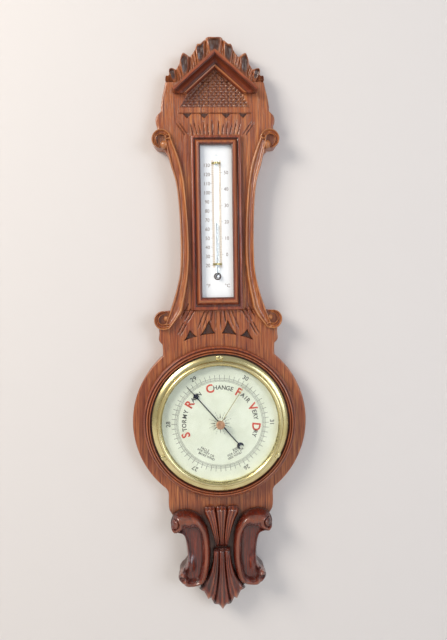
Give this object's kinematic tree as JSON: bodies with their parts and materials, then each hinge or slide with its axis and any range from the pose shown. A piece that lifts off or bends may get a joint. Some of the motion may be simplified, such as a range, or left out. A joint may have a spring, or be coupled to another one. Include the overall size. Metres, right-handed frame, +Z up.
{
  "type": "banjo barometer",
  "caption": "Wall barometer in a carved oak banjo case: round brass-bound dial below, thermometer in the scrolled neck, gabled leaf crest, scroll and leaf base.",
  "frame": {"origin": "where the dial's axis meets the plane of the wall, at the centre of the flush rear cover", "axes": "+Z up along the case, +Y into the wall, so the dial faces -Y, and +X to the right as the dial is read"},
  "size_m": [0.2624, 0.0543, 0.8605],
  "materials": {
    "oak_board": "varnished oak, open pores, warm red-brown",
    "carved_oak": "carved oak, stained darker in the hollows, satin varnish",
    "brass": "lacquered brass, lightly aged",
    "coppered_brass": "knurled, copper toned",
    "steel": "plain machined steel",
    "blued_steel": "heat blued, polished",
    "dial_enamel": "cream dial with black and red print under satin lacquer",
    "milk_glass": "white glazed scale plate",
    "clear_glass": "clear flat glass",
    "mercury": "liquid metal in a glass bulb"
  },
  "bodies": {
    "case": {"case_board": "oak_board", "crest_carving": "carved_oak", "pediment_moulding_left": "carved_oak", "pediment_moulding_right": "carved_oak", "side_scroll_left": "carved_oak", "side_scroll_right": "carved_oak", "dial_surround_ring": "carved_oak", "base_scroll_left": "carved_oak", "base_scroll_right": "carved_oak", "base_leaf_upper": "carved_oak", "base_leaf_lower": "carved_oak", "thermometer_frame_top": "carved_oak", "thermometer_frame_bottom": "carved_oak", "thermometer_frame_left": "carved_oak", "thermometer_frame_right": "carved_oak", "thermometer_plate": "milk_glass", "thermometer_tube": "clear_glass", "mercury_bulb": "mercury", "tube_clip_upper": "brass", "tube_clip_lower": "brass", "bezel": "brass", "bezel_screw_top": "brass", "bezel_screw_left": "brass", "bezel_screw_right": "brass", "glass": "clear_glass", "glass_spacer_ring": "brass", "dial_face": "dial_enamel", "dial_plate": "brass", "hairspring": "blued_steel", "movement_case": "brass", "movement_base_plate": "brass", "dial_pillar_1": "brass", "dial_pillar_2": "brass", "dial_pillar_3": "brass", "vacuum_capsule": "steel", "capsule_stem": "steel", "spring_bridge": "steel", "mainspring": "blued_steel", "shaft_bracket": "brass", "arbor_bridge": "brass", "rear_cover": "oak_board", "rear_cover_screw_1": "steel", "rear_cover_screw_2": "steel", "rear_cover_screw_3": "steel", "hanging_plate": "brass", "hanging_screw_upper": "steel", "hanging_screw_lower": "steel"},
    "hand": {"indicating_hand": "blued_steel", "hand_arbor": "steel"},
    "set_hand": {"set_hand": "brass", "set_hand_knob": "coppered_brass"},
    "lever": {"main_lever": "brass"},
    "link": {"lever_link": "steel"},
    "rocker": {"rocking_shaft": "steel"},
    "chain": {"chain": "steel"},
    "adjuster": {"adjusting_screw": "steel"}
  },
  "joints": [
    {"name": "hand_turn", "type": "hinge", "parent": "case", "child": "hand", "pos_m": [0, -0.035, 0], "axis": [0, 1, 0], "range_deg": [-155, 153], "deforming": ["hairspring"]},
    {"name": "chain_pull", "type": "slide", "parent": "case", "child": "chain", "axis": [0, 0, 1], "range_m": [-0.0037, 0.0037]},
    {"name": "rocker_turn", "type": "hinge", "parent": "case", "child": "rocker", "pos_m": [0, -0.017, 0.038], "axis": [1, 0, 0], "range_deg": [-15, 15]},
    {"name": "link_lift", "type": "slide", "parent": "case", "child": "link", "axis": [0, -1, 0], "range_m": [-0.0014, 0.0014]},
    {"name": "lever_tilt", "type": "hinge", "parent": "case", "child": "lever", "pos_m": [0, -0.0265, 0], "axis": [1, 0, 0], "range_deg": [-2, 2]},
    {"name": "set_hand_turn", "type": "hinge", "parent": "case", "child": "set_hand", "pos_m": [0, -0.046, 0], "axis": [0, 1, 0], "continuous": true},
    {"name": "adjuster_turn", "type": "hinge", "parent": "case", "child": "adjuster", "pos_m": [0.035, -0.008, 0], "axis": [0, 1, 0], "continuous": true}
  ],
  "couplings": [
    {"joint": "chain_pull", "follows": "hand_turn", "m_per_rad": 0.0013},
    {"joint": "rocker_turn", "follows": "hand_turn", "ratio": -0.09},
    {"joint": "link_lift", "follows": "hand_turn", "m_per_rad": -0.00045},
    {"joint": "lever_tilt", "follows": "hand_turn", "ratio": -0.0105}
  ]
}
